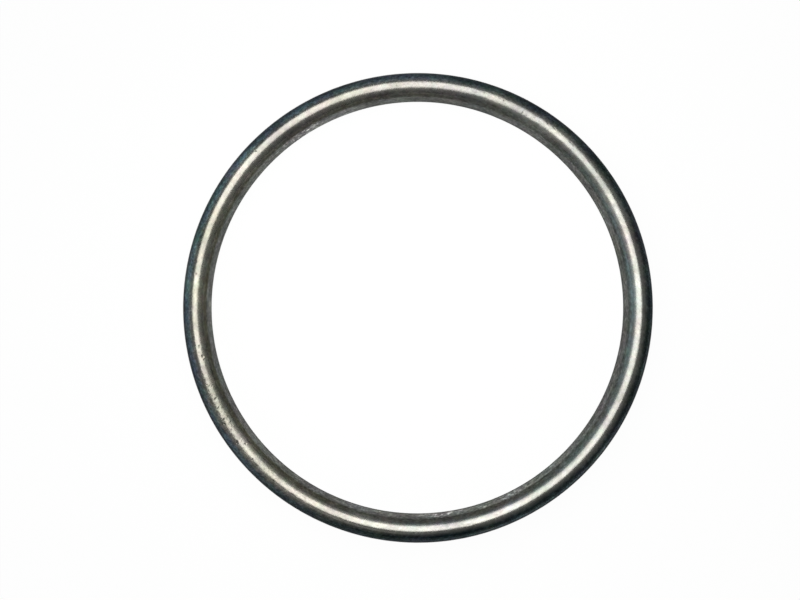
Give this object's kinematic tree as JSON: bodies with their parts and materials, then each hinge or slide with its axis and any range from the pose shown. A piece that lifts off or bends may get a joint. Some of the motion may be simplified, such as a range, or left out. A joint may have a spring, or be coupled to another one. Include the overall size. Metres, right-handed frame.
{
  "type": "ring joint gasket",
  "caption": "Oval-section solid metal ring gasket: turned ring with short straight walls and full-radius crests that wedge into flange grooves.",
  "frame": {"origin": "centre of the ring, on its axis and on the plane midway between its two crests", "axes": "+Z along the ring's axis, the way a pipe would run through it; the ring lies flat in XY, the same either way up and at any turn about Z"},
  "size_m": [0.2222, 0.2222, 0.0174],
  "materials": {
    "bare_iron": "satin, turned, lightly worn"
  },
  "bodies": {
    "root": {"ring": "bare_iron"}
  },
  "joints": []
}
